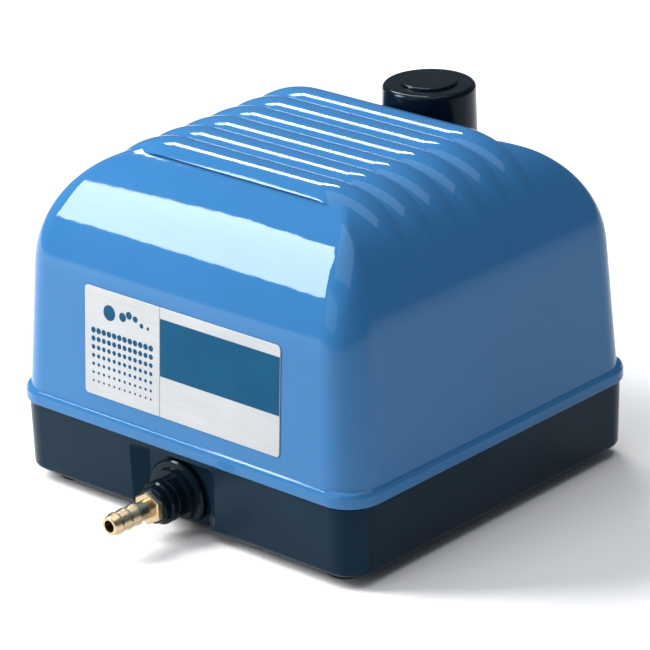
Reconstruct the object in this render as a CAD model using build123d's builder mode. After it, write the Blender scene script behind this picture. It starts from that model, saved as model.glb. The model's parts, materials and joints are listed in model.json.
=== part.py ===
"""Electromagnetic twin-diaphragm air pump in a moulded casing.

Millimetres, +Z up, -Y is the front with the hose barb, +X is the right-hand side.
The origin is on the ground, under the middle of the overall length and width.
"""

import os
from math import cos, pi, sin, sqrt, tan

from build123d import *

os.makedirs("parts", exist_ok=True)

# ---- overall lengths, measured from the casing's own centre line ----
TIP_Y = -135.8            # end of the hose barb
GLAND_END_Y = 112.0       # end of the cable gland
CASE_Y = -(TIP_Y + GLAND_END_Y) / 2  # casing centre, measured from the origin
CASE_Z = 3.0              # heights in the casing are measured from this level above the ground

# ---- base pan ----
PAN_BOTTOM = 2.4
PAN_TOP = 34.6
PAN_HALF_X = 99.7
PAN_HALF_Y = 95.4
PAN_DRAFT = 0.5           # growth of the pan's half sizes from bottom to top
PAN_CORNER = 13.0
PAN_ROUND = 2.4           # rounding of the pan's bottom edge
PAN_WALL = 3.0
PAN_FLOOR = PAN_BOTTOM + PAN_WALL
FOOT_X = 80.5
FOOT_Y = 79.0
FOOT_R = 9.0

SCREW_SEAT = 14.0
SCREW_HEAD = 3.0

# ---- label plate ----
LABEL_X = 2.1
LABEL_Z = 75.2
LABEL_WIDTH = 115.6
LABEL_HEIGHT = 50.4

# ---- cover ----
RIM_BOTTOM = 35.4
RIM_EDGE = 40.3           # the rim's upright face ends here and a shoulder slopes in
RIM_BEAD = 41.9           # second, smaller step of the shoulder
RIM_BEAD_X = 101.8
RIM_BEAD_Y = 97.1
RIM_TOP = 43.4
RIM_HALF_X = 102.5
RIM_HALF_Y = 97.7
RIM_CORNER = 16.4
RIM_ROUND = 0.6
COVER_WALL = 3.0
COVER_TOP = 152.9         # smooth top, under the ribs
COVER_SHIFT_Y = -0.4      # the cover's walls sit a little forward of the rim's centre
SIDE_FOOT = 100.9
SIDE_DRAFT = 0.072        # radians
SIDE_RADIUS = 51.2
FRONT_FOOT = 95.9
FRONT_DRAFT = 0.060
FRONT_RADIUS = 57.0
CORNER_FOOT = 17.5
CORNER_RATE = 0.5         # corner radius lost per mm that the wall has moved in
CORNER_LEAST = 2.5
WEB_X = 98.9              # the screw bosses' webs end inside the side walls
WEB_Y = 94.0

# ---- ribs on top of the cover ----
RIB_PITCH = 17.0
RIB_RADIUS = 17.0
RIB_HEIGHT = 2.8
RIB_DEPTH = RIB_RADIUS - 4.6  # below this distance from its top a rib is left out
RIB_FADE = 1.9            # how far the rib's shoulder arc is moved in, so that it sinks away

# ---- air filter on the back of the cover ----
FILTER_Y = 75.3
CAP_TOP = 159.2
CAP_BUTTON_TOP = 160.4
CAP_TOP_R = 21.3
CAP_FOOT_R = 22.3
WELL_FLOOR = 118.0
WELL_R = 23.2
CAP_BUTTON_R = 13.0
HOUSING_BOTTOM = 84.0
HOUSING_TOP = 150.0
FOAM_R = 13.7

# ---- air outlet ----
OUTLET_X = -4.5
OUTLET_Z = 13.7
RECESS_Y = -91.2          # face of the recess in the pan's front wall
SEAL_Y = RECESS_Y - 0.8   # front face of the flat seal
BODY_FACE_Y = -106.3      # front face of the black connector's body
COLLAR_Y = -109.8         # front face of the smaller ring before it
THREAD_R = 6.5
OUTLET_BORE_R = 5.0
BORE_R = 2.8              # air passage of the hose barb

FLANGE_R = 16.3
FLANGE_FLAT_Z = 5.5       # the flanges are cut off level at their bottom
HEX_FLATS = 13.6
HEX_LENGTH = 3.1
BARB_START_Y = -119.6
BARB_PITCH = 5.6
BARB_RIDGE_R = 5.1
BARB_NECK_R = 4.3
BARB_TIP_R = 3.8
RECESS_X = -5.0
RECESS_WIDTH = 35.0
RECESS_TOP = 31.5

# ---- drive inside ----
PLATE_BOTTOM = 24.0
PLATE_TOP = 26.0
DRIVE_Z = 54.0            # height of the arms' and diaphragms' centre line
PIVOT_X = 16.0
PIVOT_Y = -72.0
DIAPHRAGM_Y = -46.0
DIAPHRAGM_X = 32.0        # inner face of the diaphragm
DIAPHRAGM_R = 20.0
POLE_Y = -14.0            # pole faces of the magnet core
MOUNT_X = 68.0
MOUNT_FRONT_Y = -70.0
MOUNT_REAR_Y = 36.0
BUSH_CLEARANCE = 0.05
MOVING_GAP = 0.3

PLATE_WIDTH = 156.0
PLATE_DEPTH = 128.0
PLATE_Y = -18.0
MOUNT_SEAT = 10.0
MOUNT_NECK_R = 4.0
MOUNT_PLACES = [(side * MOUNT_X, y) for side in (-1, 1) for y in (MOUNT_FRONT_Y, MOUNT_REAR_Y)]
CORE_BOTTOM = 42.0
CORE_TOP = 66.0
CORE_BACK_Y = 36.0
YOKE_Y = 24.0             # inner edge of the yoke
LEG_HALF = 8.0            # half width of the middle leg
LEG_INNER = 24.0
LEG_OUTER = 35.0
CORE_BOLT_PLACES = [(side * 30.0, y) for side in (-1, 1) for y in (0.0, 30.0)]
COIL_LENGTH = 28.0
COIL_TOP_Z = CORE_TOP + 8
MAGNET_Y = -26.0
MAGNET_LENGTH = 9.0
BRACKET_BACK_Y = -83.0
BRACKET_HALF = 27.0
PIVOT_LOWER_Z = 39.0
PIVOT_UPPER_Z = 68.0
PIN_R = 2.5
DIAPHRAGM_T = 2.0
WASHER_GAP = 0.1
CHAMBER_SIZE = 46.0
CHAMBER_DEPTH = 12.0
CHAMBER_BORE = 17.0
SCREW_SPREAD = 38.0
VALVE_PLATE_T = 3.0
PORT_RISE = 9.5
FLAP_GAP = 0.2
FLAP_T = 0.8
FLAP_HEIGHT = 11.0
COVER_DEPTH = 15.0
TUBE_X = 57.0
TUBE_R = 4.4
TUBE_TOP_Z = 28.0
NIPPLE_R = 2.8
NIPPLE_BORE = 1.8
MANIFOLD_Y = -66.0
NIPPLE_END = 21.0

# ---- electrics ----
TERMINAL_X = -40.0
TERMINAL_Y = 72.0
TERMINAL_Z = 9.0
GLAND_THREAD_R = 6.0
GLAND_HOLE_SIDES = 8
GLAND_X = -62.0
GLAND_Z = 20.0
CABLE_R = 3.6             # passage for a mains lead 7 mm across


def level(z, x=0.0, y=0.0):
    """Horizontal plane at height z, facing up."""
    return Plane((x, CASE_Y + y, CASE_Z + z))


def facing_front(y, x=0.0, z=0.0):
    """Upright plane facing the front: local X is +X and local Y is +Z."""
    return Plane((x, CASE_Y + y, CASE_Z + z), x_dir=(1, 0, 0), z_dir=(0, -1, 0))


def facing_right(x, y=0.0, z=0.0):
    """Upright plane facing the right: local X is +Y and local Y is +Z."""
    return Plane((x, CASE_Y + y, CASE_Z + z), x_dir=(0, 1, 0), z_dir=(1, 0, 0))


def save(piece, name):
    """Label a finished sub-part and write it."""
    piece.part.label = name
    export_step(piece.part, f"parts/{name}.step")


def arch(z, foot, draft, radius, top):
    """Half size of the cover at height z: a drafted wall that turns over on an arc."""
    centre_z = top - radius
    centre = foot - (radius + (centre_z - RIM_TOP) * sin(draft)) / cos(draft)
    if z <= centre_z + radius * sin(draft):
        return foot - (z - RIM_TOP) * tan(draft)
    return centre + sqrt(max(radius**2 - (z - centre_z) ** 2, 0.0))


TURN_Z = COVER_TOP - FRONT_RADIUS * (1 - sin(FRONT_DRAFT))  # the front wall starts to turn here
TURN_STEPS = 12


def turning_levels(inset):
    """Heights of the cross-sections above the straight walls, closer together near the top."""
    top = COVER_TOP - inset
    steps = [i / TURN_STEPS for i in range(TURN_STEPS + 1)]
    return [TURN_Z + (top - TURN_Z) * sin(step * pi / 2) for step in steps]


def cover_section(z, inset):
    """Half width, half depth and corner radius of the cover at height z."""
    top = COVER_TOP - inset
    half_x = arch(z, SIDE_FOOT - inset, SIDE_DRAFT, SIDE_RADIUS - inset, top)
    half_y = arch(z, FRONT_FOOT - inset, FRONT_DRAFT, FRONT_RADIUS - inset, top)
    corner = CORNER_FOOT - inset - CORNER_RATE * (SIDE_FOOT - inset - half_x)
    return half_x, half_y, max(corner, CORNER_LEAST)


# ======================================================================
# Casing
# ======================================================================

# The hollow of the cover, left solid where the filter's well stands in it.
with BuildPart() as cavity:
    for heights, straight in ([RIM_BOTTOM, TURN_Z], True), (turning_levels(COVER_WALL), False):
        for z in heights:
            half_x, half_y, corner = cover_section(z, COVER_WALL)
            with BuildSketch(level(z, y=COVER_SHIFT_Y)):
                RectangleRounded(2 * half_x, 2 * half_y, corner)
        loft(ruled=straight)
    with BuildSketch(level(WELL_FLOOR - 4, y=FILTER_Y)):
        Circle(WELL_R + 2.6)
    extrude(amount=60, mode=Mode.SUBTRACT)

# The rim that overhangs the base pan.
with BuildPart() as rim:
    with BuildSketch(level(RIM_BOTTOM)):
        RectangleRounded(2 * RIM_HALF_X, 2 * RIM_HALF_Y, RIM_CORNER)
    extrude(amount=RIM_EDGE - RIM_BOTTOM)
    with BuildSketch(level(RIM_EDGE)):
        RectangleRounded(2 * RIM_HALF_X, 2 * RIM_HALF_Y, RIM_CORNER)
    with BuildSketch(level(RIM_BEAD)):
        RectangleRounded(2 * RIM_BEAD_X, 2 * RIM_BEAD_Y, RIM_CORNER)
    with BuildSketch(level(RIM_TOP)):
        RectangleRounded(2 * (SIDE_FOOT - 1), 2 * (FRONT_FOOT - 1), RIM_CORNER)
    loft(ruled=True)
    for z in RIM_EDGE, RIM_BEAD:
        corners = rim.edges().filter_by_position(Axis.Z, CASE_Z + z - 0.1, CASE_Z + z + 0.1)
        fillet(corners, RIM_ROUND)
    fillet(rim.edges().group_by(Axis.Z)[0], 0.9)

SHOULDER_Z = COVER_TOP - SIDE_RADIUS
SHOULDER_X = SIDE_FOOT - (SIDE_RADIUS + (SHOULDER_Z - RIM_TOP) * sin(SIDE_DRAFT)) / cos(SIDE_DRAFT)
RIB_ARC_X = SHOULDER_X - RIB_FADE
RIB_ARC_Z = SHOULDER_Z + RIB_HEIGHT

with BuildPart() as cover:
    for heights, straight in ([RIM_BOTTOM, TURN_Z], True), (turning_levels(0), False):
        for z in heights:
            half_x, half_y, corner = cover_section(z, 0)
            with BuildSketch(level(z, y=COVER_SHIFT_Y)):
                RectangleRounded(2 * half_x, 2 * half_y, corner)
        loft(ruled=straight)
    # Six rounded ribs run across the top and sink into the shoulders.
    for number in range(6):
        rib_y = (number - 2.5) * RIB_PITCH
        with BuildSketch(facing_right(0, rib_y, COVER_TOP + RIB_HEIGHT - RIB_RADIUS)) as rib:
            Circle(RIB_RADIUS)
            with Locations((0, RIB_DEPTH - RIB_RADIUS)):
                Rectangle(3 * RIB_RADIUS, 2 * RIB_RADIUS, mode=Mode.SUBTRACT)
        extrude(amount=RIB_ARC_X, both=True)
        for end in (-1, 1):
            with BuildSketch(facing_right(end * RIB_ARC_X, rib_y, COVER_TOP + RIB_HEIGHT - RIB_RADIUS)):
                Circle(RIB_RADIUS)
                with Locations((0, RIB_DEPTH - RIB_RADIUS)):
                    Rectangle(3 * RIB_RADIUS, 2 * RIB_RADIUS, mode=Mode.SUBTRACT)
            hub = Axis((end * RIB_ARC_X, CASE_Y + rib_y, CASE_Z + RIB_ARC_Z), (0, end, 0))
            revolve(axis=hub, revolution_arc=62)
    # The half-round column that carries the filter down the back wall.
    with BuildSketch(level(RIM_BOTTOM, y=FILTER_Y)):
        Circle(CAP_FOOT_R)
    extrude(amount=WELL_FLOOR - RIM_BOTTOM)
    add(rim.part)
    add(cavity.part, mode=Mode.SUBTRACT)
    with BuildSketch(level(RIM_BOTTOM, y=FILTER_Y)):
        Circle(CAP_FOOT_R - 2.5)
        with Locations((0, -CAP_FOOT_R)):
            Rectangle(2 * CAP_FOOT_R, 2 * CAP_FOOT_R - 16, mode=Mode.SUBTRACT)
    extrude(amount=WELL_FLOOR - 4 - RIM_BOTTOM, mode=Mode.SUBTRACT)
    # The well in which the filter stands.
    with BuildSketch(level(WELL_FLOOR, y=FILTER_Y)):
        Circle(WELL_R)
    extrude(amount=60, mode=Mode.SUBTRACT)
    with BuildSketch(level(WELL_FLOOR - 10, y=FILTER_Y)):
        Circle(16.2)
    extrude(amount=20, mode=Mode.SUBTRACT)
    # Screw bosses in the four corners, webbed to the walls.
    with BuildSketch(level(RIM_BOTTOM)):
        with GridLocations(2 * FOOT_X, 2 * FOOT_Y, 2, 2):
            Circle(6)
        for side_x in (-1, 1):
            for side_y in (-1, 1):
                with Locations((side_x * (FOOT_X + WEB_X) / 2, side_y * FOOT_Y)):
                    Rectangle(WEB_X - FOOT_X, 2.4)
                with Locations((side_x * FOOT_X, side_y * (FOOT_Y + WEB_Y) / 2)):
                    Rectangle(2.4, WEB_Y - FOOT_Y)
    extrude(amount=30)
    with BuildSketch(level(RIM_BOTTOM)):
        with GridLocations(2 * FOOT_X, 2 * FOOT_Y, 2, 2):
            Circle(2.0)
    extrude(amount=26, mode=Mode.SUBTRACT)
save(cover, "cover")

# The pan: a drafted tub with a recess in its front wall for the outlet.
with BuildPart() as base_pan:
    with BuildSketch(level(PAN_BOTTOM)):
        RectangleRounded(2 * PAN_HALF_X, 2 * PAN_HALF_Y, PAN_CORNER)
    with BuildSketch(level(PAN_TOP)):
        RectangleRounded(2 * (PAN_HALF_X + PAN_DRAFT), 2 * (PAN_HALF_Y + PAN_DRAFT), PAN_CORNER)
    loft()
    fillet(base_pan.faces().sort_by(Axis.Z)[0].edges(), PAN_ROUND)
    with BuildSketch(level(PAN_FLOOR)):
        RectangleRounded(2 * (PAN_HALF_X - PAN_WALL), 2 * (PAN_HALF_Y - PAN_WALL), PAN_CORNER - PAN_WALL)
    extrude(amount=40, mode=Mode.SUBTRACT)
    # Wall behind the recess, then the recess itself with sloping cheeks.
    with BuildSketch(facing_front(RECESS_Y + PAN_WALL)):
        with Locations((RECESS_X, (PAN_BOTTOM + PAN_TOP) / 2)):
            Rectangle(RECESS_WIDTH + 8, PAN_TOP - PAN_BOTTOM)
    extrude(amount=5)
    for depth, width, top in (0, RECESS_WIDTH, RECESS_TOP), (7, RECESS_WIDTH + 24, RECESS_TOP + 1.5):
        with BuildSketch(facing_front(RECESS_Y - depth)):
            with Locations((RECESS_X, top / 2 - 5)):
                RectangleRounded(width, top + 10, 3)
    loft(mode=Mode.SUBTRACT)
    with BuildSketch(facing_front(RECESS_Y + 6)):
        with Locations((OUTLET_X, OUTLET_Z)):
            Circle(THREAD_R + 0.1)
    extrude(amount=12, mode=Mode.SUBTRACT)
    # Posts that meet the cover's screw bosses.
    with BuildSketch(level(PAN_FLOOR)):
        with GridLocations(2 * FOOT_X, 2 * FOOT_Y, 2, 2):
            Circle(6)
    extrude(amount=RIM_BOTTOM - PAN_FLOOR)
    with BuildSketch(level(PAN_BOTTOM)):
        with GridLocations(2 * FOOT_X, 2 * FOOT_Y, 2, 2):
            Circle(2.3)
    extrude(amount=40, mode=Mode.SUBTRACT)
    with BuildSketch(level(PAN_BOTTOM)):
        with GridLocations(2 * FOOT_X, 2 * FOOT_Y, 2, 2):
            Circle(4.1)
    extrude(amount=SCREW_SEAT - PAN_BOTTOM, mode=Mode.SUBTRACT)
    # Seats and pins for the rubber mounts.
    for radius, height in (9, MOUNT_SEAT), (2.4, MOUNT_SEAT + 10):
        with BuildSketch(level(PAN_FLOOR - 1)):
            with Locations(*MOUNT_PLACES):
                Circle(radius)
        extrude(amount=height - PAN_FLOOR + 1)
    # Pad under the terminal block and the eight-sided hole for the cable gland.
    with BuildSketch(level(PAN_FLOOR - 1)):
        with Locations((TERMINAL_X, TERMINAL_Y)):
            Rectangle(30, 16)
    extrude(amount=TERMINAL_Z - PAN_FLOOR + 1)
    with BuildSketch(facing_front(PAN_HALF_Y + 4)):
        with Locations((GLAND_X, GLAND_Z)):
            RegularPolygon(GLAND_THREAD_R, GLAND_HOLE_SIDES, major_radius=False)
    extrude(amount=12, mode=Mode.SUBTRACT)
save(base_pan, "base_pan")

# Flat rubber ring pinched between the pan and the cover's rim.
with BuildPart() as cover_gasket:
    with BuildSketch(level(PAN_TOP)):
        RectangleRounded(2 * (PAN_HALF_X - 0.3), 2 * (PAN_HALF_Y - 0.3), PAN_CORNER - 0.3)
        RectangleRounded(2 * (PAN_HALF_X - 2.4), 2 * (PAN_HALF_Y - 2.4), PAN_CORNER - 2.4, mode=Mode.SUBTRACT)
    extrude(amount=RIM_BOTTOM - PAN_TOP)
save(cover_gasket, "cover_gasket")

# Four rubber feet with stems that plug the screw holes.
with BuildPart() as rubber_feet:
    with BuildSketch(level(-CASE_Z)):
        with GridLocations(2 * FOOT_X, 2 * FOOT_Y, 2, 2):
            Circle(FOOT_R)
    extrude(amount=CASE_Z + PAN_BOTTOM)
    chamfer(rubber_feet.faces().sort_by(Axis.Z)[:4].edges(), 0.8)
    with BuildSketch(level(PAN_BOTTOM)):
        with GridLocations(2 * FOOT_X, 2 * FOOT_Y, 2, 2):
            Circle(4.0)
    extrude(amount=SCREW_SEAT - SCREW_HEAD - 0.5 - PAN_BOTTOM)
save(rubber_feet, "rubber_feet")

# Four long screws from below into the cover's bosses.
with BuildPart() as cover_screws:
    with BuildSketch(level(SCREW_SEAT - SCREW_HEAD)):
        with GridLocations(2 * FOOT_X, 2 * FOOT_Y, 2, 2):
            Circle(3.8)
    extrude(amount=SCREW_HEAD)
    with BuildSketch(level(SCREW_SEAT)):
        with GridLocations(2 * FOOT_X, 2 * FOOT_Y, 2, 2):
            Circle(2.0)
    extrude(amount=RIM_BOTTOM + 20 - SCREW_SEAT)
    with BuildSketch(level(SCREW_SEAT - SCREW_HEAD)):
        with GridLocations(2 * FOOT_X, 2 * FOOT_Y, 2, 2):
            Rectangle(5, 1)
            Rectangle(1, 5)
    extrude(amount=1.6, mode=Mode.SUBTRACT)
save(cover_screws, "cover_screws")

# Printed plate on the front wall, leaning back with it.
FRONT_FACE_Y = COVER_SHIFT_Y - FRONT_FOOT + (LABEL_Z - RIM_TOP) * tan(FRONT_DRAFT)
label_plane = Plane(
    (0, CASE_Y + FRONT_FACE_Y - 0.02, CASE_Z + LABEL_Z),
    x_dir=(1, 0, 0),
    z_dir=(0, -cos(FRONT_DRAFT), sin(FRONT_DRAFT)),
)
with BuildPart() as label_plate:
    with BuildSketch(label_plane):
        with Locations((LABEL_X, 0)):
            RectangleRounded(LABEL_WIDTH, LABEL_HEIGHT, 2.0)
    extrude(amount=0.5)
    fillet(label_plate.faces().sort_by(Axis.Y)[0].edges(), 0.2)
save(label_plate, "label_plate")

# Foam sheet glued under the top of the cover against the hum.
with BuildPart() as damping_pad:
    with BuildSketch(level(COVER_TOP - COVER_WALL - 4)):
        RectangleRounded(76, 56, 4)
    extrude(amount=4)
save(damping_pad, "damping_pad")

# ======================================================================
# Air outlet
# ======================================================================


outlet_axis = Axis((OUTLET_X, CASE_Y, CASE_Z + OUTLET_Z), (0, 1, 0))


def half_outline(points):
    """Face from (radius, Y) points, lying beside the outlet's axis and ready to revolve."""
    with BuildSketch(level(OUTLET_Z, OUTLET_X)) as outline:
        with BuildLine():
            Polyline(*points, close=True)
        make_face()
    return outline.sketch


# Black connector: a thread through the wall, two flanges, a body and a ringed collar.
with BuildPart() as outlet_connector:
    revolve(
        half_outline([
            (OUTLET_BORE_R, SEAL_Y), (FLANGE_R, SEAL_Y), (FLANGE_R, RECESS_Y - 2.8),
            (FLANGE_R - 0.8, RECESS_Y - 3.6), (13.0, RECESS_Y - 3.8), (12.4, RECESS_Y - 6.2),
            (OUTLET_BORE_R, RECESS_Y - 6.4),
        ]),
        axis=outlet_axis,
    )
    with BuildSketch(level(FLANGE_FLAT_Z, OUTLET_X, RECESS_Y)):
        Rectangle(80, 80)
    extrude(amount=-20, mode=Mode.SUBTRACT)
    revolve(
        half_outline([
            (OUTLET_BORE_R, -76.0), (THREAD_R, -76.0), (THREAD_R, SEAL_Y), (9.3, SEAL_Y),
            (9.9, BODY_FACE_Y + 4.6), (9.2, BODY_FACE_Y + 4.2), (9.2, BODY_FACE_Y + 3.2),
            (9.9, BODY_FACE_Y + 2.8), (9.9, BODY_FACE_Y + 0.9), (9.2, BODY_FACE_Y),
            (8.3, BODY_FACE_Y), (8.3, COLLAR_Y + 1.0), (7.9, COLLAR_Y), (OUTLET_BORE_R, COLLAR_Y),
        ]),
        axis=outlet_axis,
    )
save(outlet_connector, "outlet_connector")

with BuildPart() as outlet_seal:
    revolve(
        half_outline([(THREAD_R, RECESS_Y), (11.0, RECESS_Y), (11.0, SEAL_Y), (THREAD_R, SEAL_Y)]),
        axis=outlet_axis,
    )
save(outlet_seal, "outlet_seal")

with BuildPart() as outlet_nut:
    with BuildSketch(facing_front(RECESS_Y + PAN_WALL, OUTLET_X, OUTLET_Z)):
        RegularPolygon(8.0, 6, major_radius=False)
        Circle(THREAD_R, mode=Mode.SUBTRACT)
    extrude(amount=-5)
save(outlet_nut, "outlet_nut")

# Brass hose barb: hexagon, thread and three ridges with a through passage.
with BuildPart() as hose_barb:
    with BuildSketch(facing_front(COLLAR_Y, OUTLET_X, OUTLET_Z)):
        RegularPolygon(HEX_FLATS / 2, 6, major_radius=False, rotation=30)
    extrude(amount=HEX_LENGTH)
    chamfer(hose_barb.faces().sort_by(Axis.Y)[0].edges(), 0.6)
    ridges = [(BORE_R, COLLAR_Y + 10), (OUTLET_BORE_R, COLLAR_Y + 10)]
    ridges += [(OUTLET_BORE_R, COLLAR_Y - 1), (BARB_NECK_R, COLLAR_Y - 1)]
    for number in range(3):
        start = BARB_START_Y - number * BARB_PITCH
        ridges += [(BARB_NECK_R, start), (BARB_RIDGE_R, start - 0.3), (BARB_RIDGE_R, start - 1.5)]
    ridges += [(BARB_TIP_R + 0.4, TIP_Y + 0.4), (BARB_TIP_R, TIP_Y)]
    revolve(half_outline(ridges + [(BORE_R, TIP_Y)]), axis=outlet_axis)
    with BuildSketch(facing_front(COLLAR_Y + 20, OUTLET_X, OUTLET_Z)):
        Circle(BORE_R)
    extrude(amount=70, mode=Mode.SUBTRACT)
save(hose_barb, "hose_barb")

# Junction that joins both air tubes to the outlet.
with BuildPart() as outlet_manifold:
    with BuildSketch(facing_front(MANIFOLD_Y + 8, OUTLET_X, OUTLET_Z)):
        RectangleRounded(22, 15, 2)
    extrude(amount=16)
    with BuildSketch(facing_right(OUTLET_X, MANIFOLD_Y, OUTLET_Z)):
        Circle(NIPPLE_R)
    extrude(amount=NIPPLE_END, both=True)
    with BuildSketch(facing_right(OUTLET_X, MANIFOLD_Y, OUTLET_Z)):
        Circle(NIPPLE_BORE)
    extrude(amount=NIPPLE_END, both=True, mode=Mode.SUBTRACT)
    with BuildSketch(facing_front(MANIFOLD_Y, OUTLET_X, OUTLET_Z)):
        Circle(4.0)
    extrude(amount=12, mode=Mode.SUBTRACT)
save(outlet_manifold, "outlet_manifold")

# ======================================================================
# Air filter
# ======================================================================

with BuildPart() as filter_seal:
    with BuildSketch(level(WELL_FLOOR, y=FILTER_Y)):
        Circle(18.4)
        Circle(16.4, mode=Mode.SUBTRACT)
    extrude(amount=1)
save(filter_seal, "filter_seal")

# Cup that holds the foam, with a flange on the well's floor and a grille at the bottom.
with BuildPart() as filter_housing:
    with BuildSketch(level(HOUSING_BOTTOM, y=FILTER_Y)):
        Circle(16)
    extrude(amount=HOUSING_TOP - HOUSING_BOTTOM)
    with BuildSketch(level(WELL_FLOOR + 1, y=FILTER_Y)):
        Circle(18.6)
    extrude(amount=2)
    with BuildSketch(level(HOUSING_BOTTOM + 2, y=FILTER_Y)):
        Circle(FOAM_R + MOVING_GAP)
    extrude(amount=100, mode=Mode.SUBTRACT)
    with BuildSketch(level(HOUSING_BOTTOM, y=FILTER_Y)):
        with GridLocations(5, 0, 5, 1):
            SlotOverall(14, 2.6, rotation=90)
    extrude(amount=3, mode=Mode.SUBTRACT)
    with BuildSketch(level(HOUSING_TOP - 12, y=FILTER_Y)):
        with PolarLocations(17.2, 4, start_angle=45):
            Rectangle(2.8, 1.6)
    extrude(amount=8)
save(filter_housing, "filter_housing")

with BuildPart() as filter_nut:
    with BuildSketch(level(WELL_FLOOR - 9, y=FILTER_Y)):
        RegularPolygon(19, 8)
        Circle(16.05, mode=Mode.SUBTRACT)
    extrude(amount=5)
save(filter_nut, "filter_nut")

with BuildPart() as filter_foam:
    with BuildSketch(level(HOUSING_BOTTOM + 2.3, y=FILTER_Y)):
        Circle(FOAM_R)
    extrude(amount=HOUSING_TOP - HOUSING_BOTTOM - 6)
save(filter_foam, "filter_foam")

# Pull-off cap with a raised button; air enters around its lower edge.
with BuildPart() as filter_cap:
    with BuildSketch(level(WELL_FLOOR + MOVING_GAP, y=FILTER_Y)):
        Circle(CAP_FOOT_R)
    with BuildSketch(level(CAP_TOP, y=FILTER_Y)):
        Circle(CAP_TOP_R)
    loft()
    fillet(filter_cap.edges().group_by(Axis.Z)[-1], 2.2)
    with BuildSketch(level(CAP_TOP - 0.5, y=FILTER_Y)):
        Circle(CAP_BUTTON_R)
    extrude(amount=CAP_BUTTON_TOP - CAP_TOP + 0.5)
    fillet(filter_cap.edges().group_by(Axis.Z)[-1], 0.9)
    with BuildSketch(level(WELL_FLOOR, y=FILTER_Y)):
        Circle(CAP_FOOT_R - 2.2)
    with BuildSketch(level(CAP_TOP - 2.2, y=FILTER_Y)):
        Circle(CAP_TOP_R - 2.2)
    loft(mode=Mode.SUBTRACT)
save(filter_cap, "filter_cap")

# ======================================================================
# Sprung chassis with the magnet and its two swinging arms
# ======================================================================

with BuildPart() as chassis_plate:
    with BuildSketch(level(PLATE_BOTTOM, y=PLATE_Y)):
        RectangleRounded(PLATE_WIDTH, PLATE_DEPTH, 18)
    extrude(amount=PLATE_TOP - PLATE_BOTTOM)
    with BuildSketch(level(PLATE_BOTTOM)):
        with Locations(*MOUNT_PLACES):
            Circle(MOUNT_NECK_R)
        with Locations(*[(side * TUBE_X, DIAPHRAGM_Y) for side in (-1, 1)]):
            Circle(6)
        with Locations(*CORE_BOLT_PLACES):
            Circle(2.1)
        with Locations((0, -40)):
            SlotOverall(34, 12)
    extrude(amount=5, mode=Mode.SUBTRACT)
save(chassis_plate, "chassis_plate")

# Four rubber spools that float the chassis on the pan's pins.
with BuildPart() as vibration_mounts:
    steps = (MOUNT_SEAT, PLATE_BOTTOM, 8), (PLATE_BOTTOM, PLATE_TOP, MOUNT_NECK_R), (PLATE_TOP, PLATE_TOP + 3, 6.5)
    for bottom, top, radius in steps:
        with BuildSketch(level(bottom)):
            with Locations(*MOUNT_PLACES):
                Circle(radius)
        extrude(amount=top - bottom)
    with BuildSketch(level(MOUNT_SEAT)):
        with Locations(*MOUNT_PLACES):
            Circle(2.4)
    extrude(amount=10.5, mode=Mode.SUBTRACT)
save(vibration_mounts, "vibration_mounts")

# Stack of E-shaped laminations with its three legs towards the arms.
with BuildPart() as stator_core:
    with BuildSketch(level(CORE_BOTTOM)):
        with Locations((0, (POLE_Y + CORE_BACK_Y) / 2)):
            Rectangle(2 * LEG_OUTER, CORE_BACK_Y - POLE_Y)
        for side in (-1, 1):
            with Locations((side * (LEG_HALF + LEG_INNER) / 2, (POLE_Y + YOKE_Y) / 2)):
                Rectangle(LEG_INNER - LEG_HALF, YOKE_Y - POLE_Y, mode=Mode.SUBTRACT)
        with Locations(*CORE_BOLT_PLACES):
            Circle(2.1, mode=Mode.SUBTRACT)
    extrude(amount=CORE_TOP - CORE_BOTTOM)
save(stator_core, "stator_core")

with BuildPart() as stator_pedestals:
    for side in (-1, 1):
        with BuildSketch(level(PLATE_TOP)):
            with Locations((side * 29.5, 15)):
                Rectangle(10, 38)
            with Locations(*CORE_BOLT_PLACES):
                Circle(2.1, mode=Mode.SUBTRACT)
        extrude(amount=CORE_BOTTOM - PLATE_TOP)
save(stator_pedestals, "stator_pedestals")

with BuildPart() as core_bolts:
    with BuildSketch(level(PLATE_BOTTOM - 3)):
        with Locations(*CORE_BOLT_PLACES):
            Circle(2.0)
    extrude(amount=CORE_TOP - PLATE_BOTTOM + 3)
    with BuildSketch(level(CORE_TOP)):
        with Locations(*CORE_BOLT_PLACES):
            Circle(4.0)
            RegularPolygon(1.6, 6, mode=Mode.SUBTRACT)
    extrude(amount=3)
    with BuildSketch(level(PLATE_BOTTOM)):
        with Locations(*CORE_BOLT_PLACES):
            RegularPolygon(3.6, 6, major_radius=False)
    extrude(amount=-2.8)
save(core_bolts, "core_bolts")

COIL_MIDDLE_Z = (CORE_BOTTOM + CORE_TOP) / 2
CORE_HEIGHT = CORE_TOP - CORE_BOTTOM
BARREL_X = 2 * LEG_HALF + 3.6
BARREL_Z = CORE_HEIGHT + 3.6

with BuildPart() as coil_bobbin:
    with BuildSketch(facing_front(YOKE_Y - 0.5, 0, COIL_MIDDLE_Z)):
        Rectangle(2 * LEG_INNER - 2, CORE_HEIGHT + 20)
    extrude(amount=2)
    with BuildSketch(facing_front(YOKE_Y - 2.5, 0, COIL_MIDDLE_Z)):
        Rectangle(BARREL_X, BARREL_Z)
    extrude(amount=COIL_LENGTH)
    with BuildSketch(facing_front(YOKE_Y - 2.5 - COIL_LENGTH, 0, COIL_MIDDLE_Z)):
        Rectangle(2 * LEG_INNER - 2, CORE_HEIGHT + 20)
    extrude(amount=2)
    with BuildSketch(facing_front(YOKE_Y, 0, COIL_MIDDLE_Z)):
        Rectangle(2 * LEG_HALF + 0.4, CORE_HEIGHT + 0.4)
    extrude(amount=60, mode=Mode.SUBTRACT)
save(coil_bobbin, "coil_bobbin")

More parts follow.
